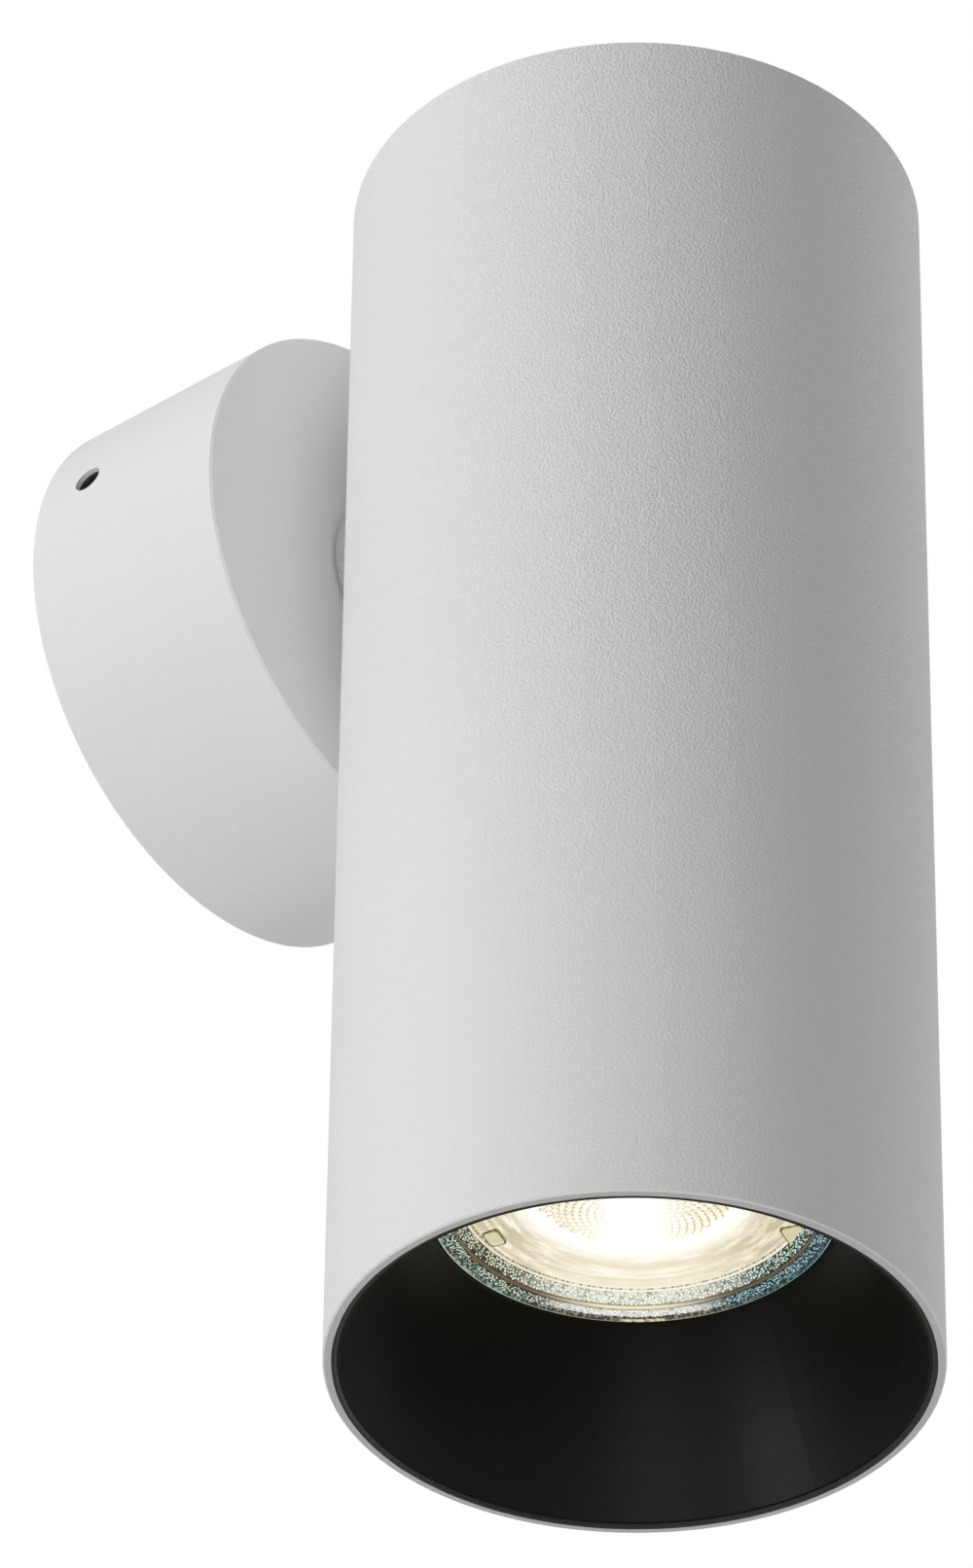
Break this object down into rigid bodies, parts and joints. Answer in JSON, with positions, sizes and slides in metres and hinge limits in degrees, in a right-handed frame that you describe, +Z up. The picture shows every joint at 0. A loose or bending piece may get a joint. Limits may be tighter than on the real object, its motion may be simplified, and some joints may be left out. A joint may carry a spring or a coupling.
{
  "type": "pivoting spotlight wall light",
  "caption": "Round wall canopy carrying a long cylindrical spotlight that pivots about the wall's normal, with a recessed bayonet lamp behind a black cone.",
  "frame": {"origin": "centre of the canopy's back on the wall plane, midway between the wall screws", "axes": "+Y into the wall, +Z up along the tube at rest, +X to the right of a person who faces the wall"},
  "size_m": [0.075, 0.109, 0.18],
  "materials": {
    "canopy_paint": "fine matt powder coat",
    "tube_paint": "fine matt powder coat",
    "cap_paint": "fine matt powder coat",
    "neck_paint": "fine matt powder coat",
    "baffle_paint": "satin black",
    "bracket_steel": "zinc plated sheet",
    "strap_steel": "zinc plated sheet",
    "set_screw_steel": "bright nickel",
    "screw_steel": "zinc plated",
    "washer_brass": "plain",
    "bush_rubber": "matt",
    "terminal_plastic": "natural",
    "terminal_brass": "plain",
    "bearing_plastic": "natural acetal",
    "stud_steel": "turned and zinc plated",
    "saddle_aluminium": "milled",
    "spring_steel": "blued spring steel",
    "rivet_aluminium": "plain",
    "holder_ceramic": "unglazed steatite",
    "contact_brass": "plain",
    "lamp_glass": "silvered inside",
    "lamp_lens": "stippled and frosted",
    "led_board": "white solder mask",
    "led_chip": "phosphor",
    "driver_board": "solder mask",
    "lamp_ceramic": "unglazed",
    "pin_brass": "nickel plated brass"
  },
  "bodies": {
    "wall_mount": {"canopy_shell": "canopy_paint", "canopy_set_screws": "set_screw_steel", "wall_bracket": "bracket_steel", "cable_bush": "bush_rubber", "terminal_block": "terminal_plastic", "terminal_barrels": "terminal_brass", "terminal_screws": "screw_steel", "terminal_fixing_screws": "screw_steel", "earth_screw": "screw_steel", "earth_washer": "washer_brass", "pivot_bush": "bearing_plastic", "stop_pin": "stud_steel"},
    "head": {"tube_housing": "tube_paint", "end_cap": "cap_paint", "saddle_spacer": "neck_paint", "thrust_washer": "bearing_plastic", "pivot_stud": "stud_steel", "inner_saddle": "saddle_aluminium", "friction_washer": "stud_steel", "disc_spring": "spring_steel", "stop_washer": "stud_steel", "lock_nut": "stud_steel", "stud_sleeve": "bearing_plastic", "baffle": "baffle_paint", "baffle_springs": "spring_steel", "baffle_rivets": "rivet_aluminium", "lamp_bracket": "strap_steel", "lamp_holder": "holder_ceramic", "holder_contacts": "contact_brass", "holder_screws": "screw_steel"},
    "lamp": {"lamp_glass": "lamp_glass", "lamp_lens": "lamp_lens", "lamp_led_board": "led_board", "lamp_led_chips": "led_chip", "lamp_driver_board": "driver_board", "lamp_base": "lamp_ceramic", "lamp_pins": "pin_brass"}
  },
  "joints": [
    {"name": "head_turn", "type": "hinge", "parent": "wall_mount", "child": "head", "pos_m": [0, -0.03, 0], "axis": [0, -1, 0], "range_deg": [-174, 174]},
    {"name": "lamp_twist", "type": "hinge", "parent": "head", "child": "lamp", "pos_m": [0, -0.0715, -0.115], "axis": [0, 0, -1], "range_deg": [0, 45]}
  ]
}
